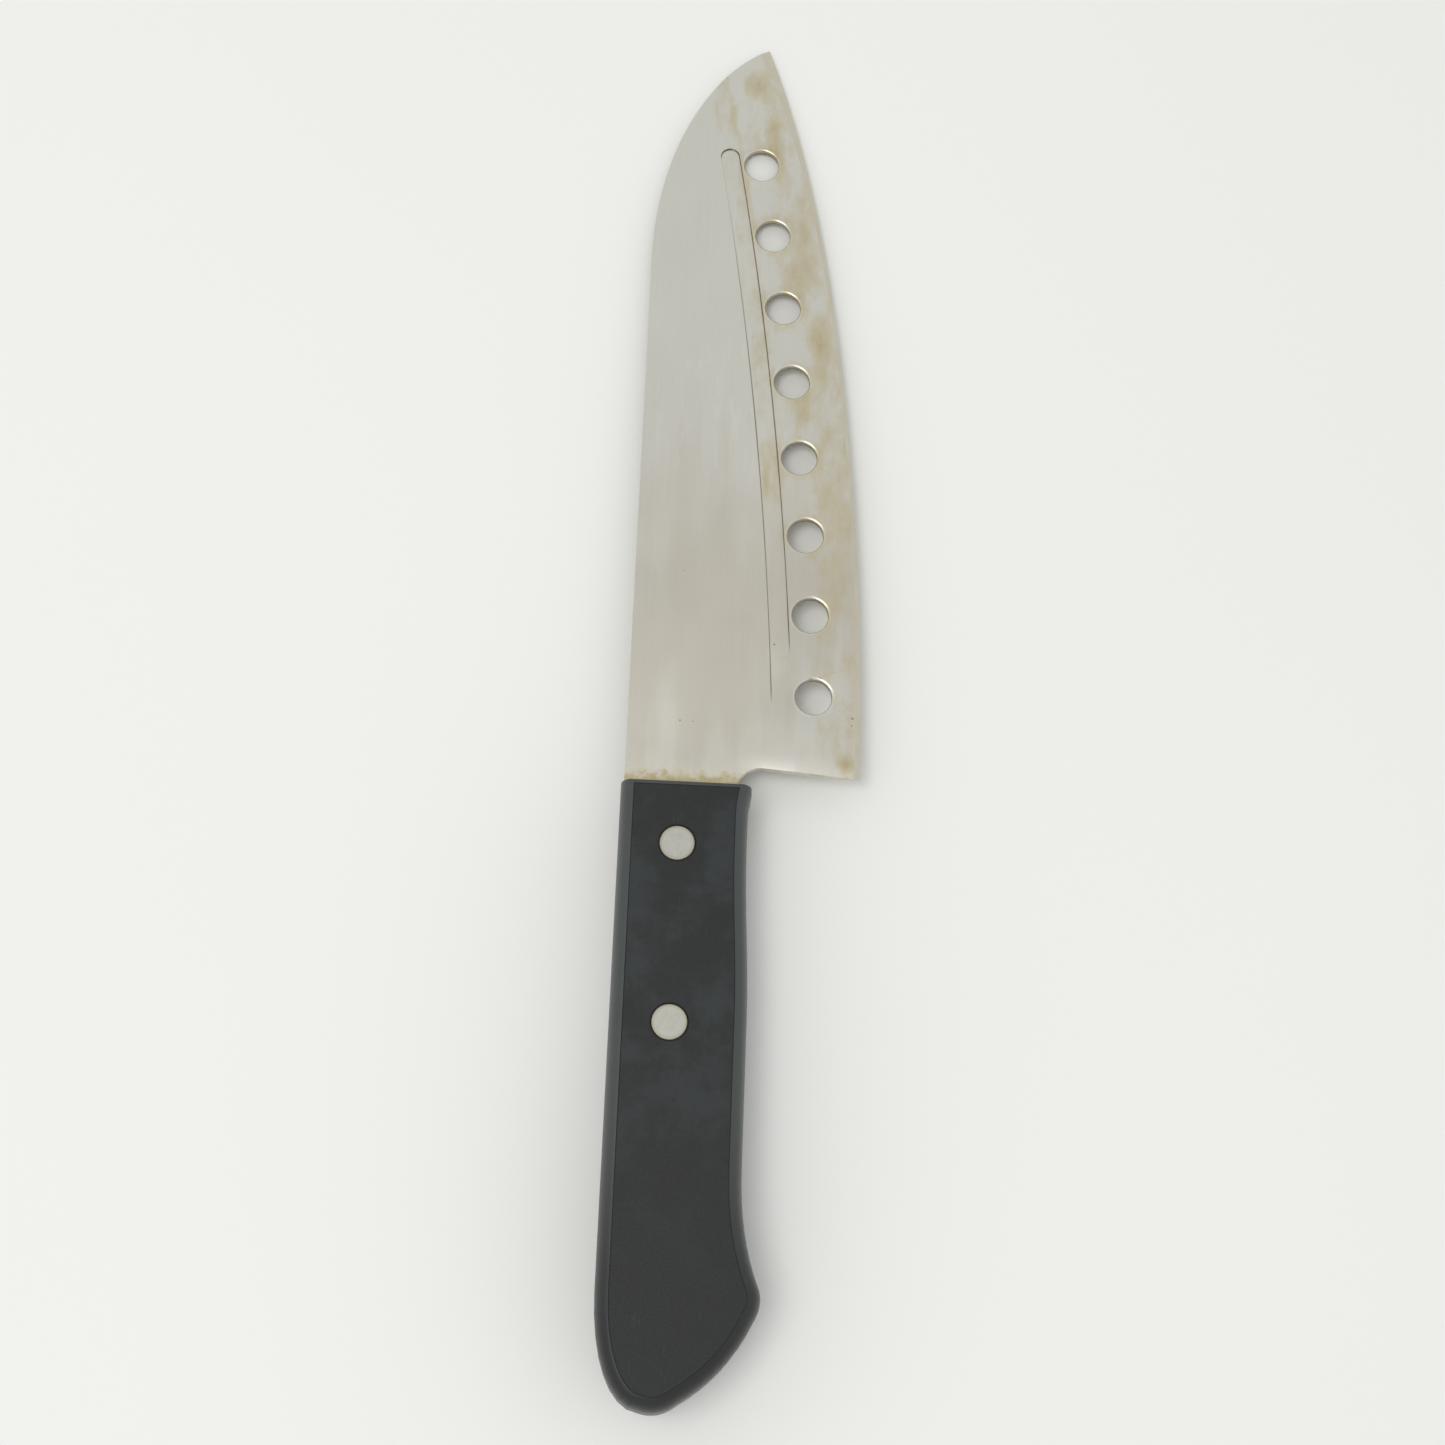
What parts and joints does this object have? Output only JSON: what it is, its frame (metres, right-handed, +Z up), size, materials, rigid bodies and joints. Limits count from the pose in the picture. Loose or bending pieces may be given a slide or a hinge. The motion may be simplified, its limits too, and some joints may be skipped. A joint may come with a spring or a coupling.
{
  "type": "kitchen knife",
  "caption": "Kitchen knife with a deep perforated steel blade, a curved shallow groove and a riveted black handle with a beaked butt.",
  "frame": {"origin": "middle of the underside of the knife's whole box, as it lies on its side", "axes": "+Y along the blade towards the tip; +X from the spine towards the cutting edge; +Z up, out of the grooved side of the blade"},
  "size_m": [0.0474, 0.2922, 0.017],
  "materials": {
    "blade_steel": "satin stainless steel, finely brushed lengthwise, with light tan stains",
    "handle_black": "matt black moulded plastic with fine scuffs",
    "filler_black": "hardened black resin",
    "rivet_aluminium": "dull aluminium, ground flush"
  },
  "bodies": {
    "root": {"blade": "blade_steel", "handle": "handle_black", "slot_filler": "filler_black", "front_rivet_sleeve": "rivet_aluminium", "front_rivet_shank": "rivet_aluminium", "rear_rivet_sleeve": "rivet_aluminium", "rear_rivet_shank": "rivet_aluminium"}
  },
  "joints": []
}
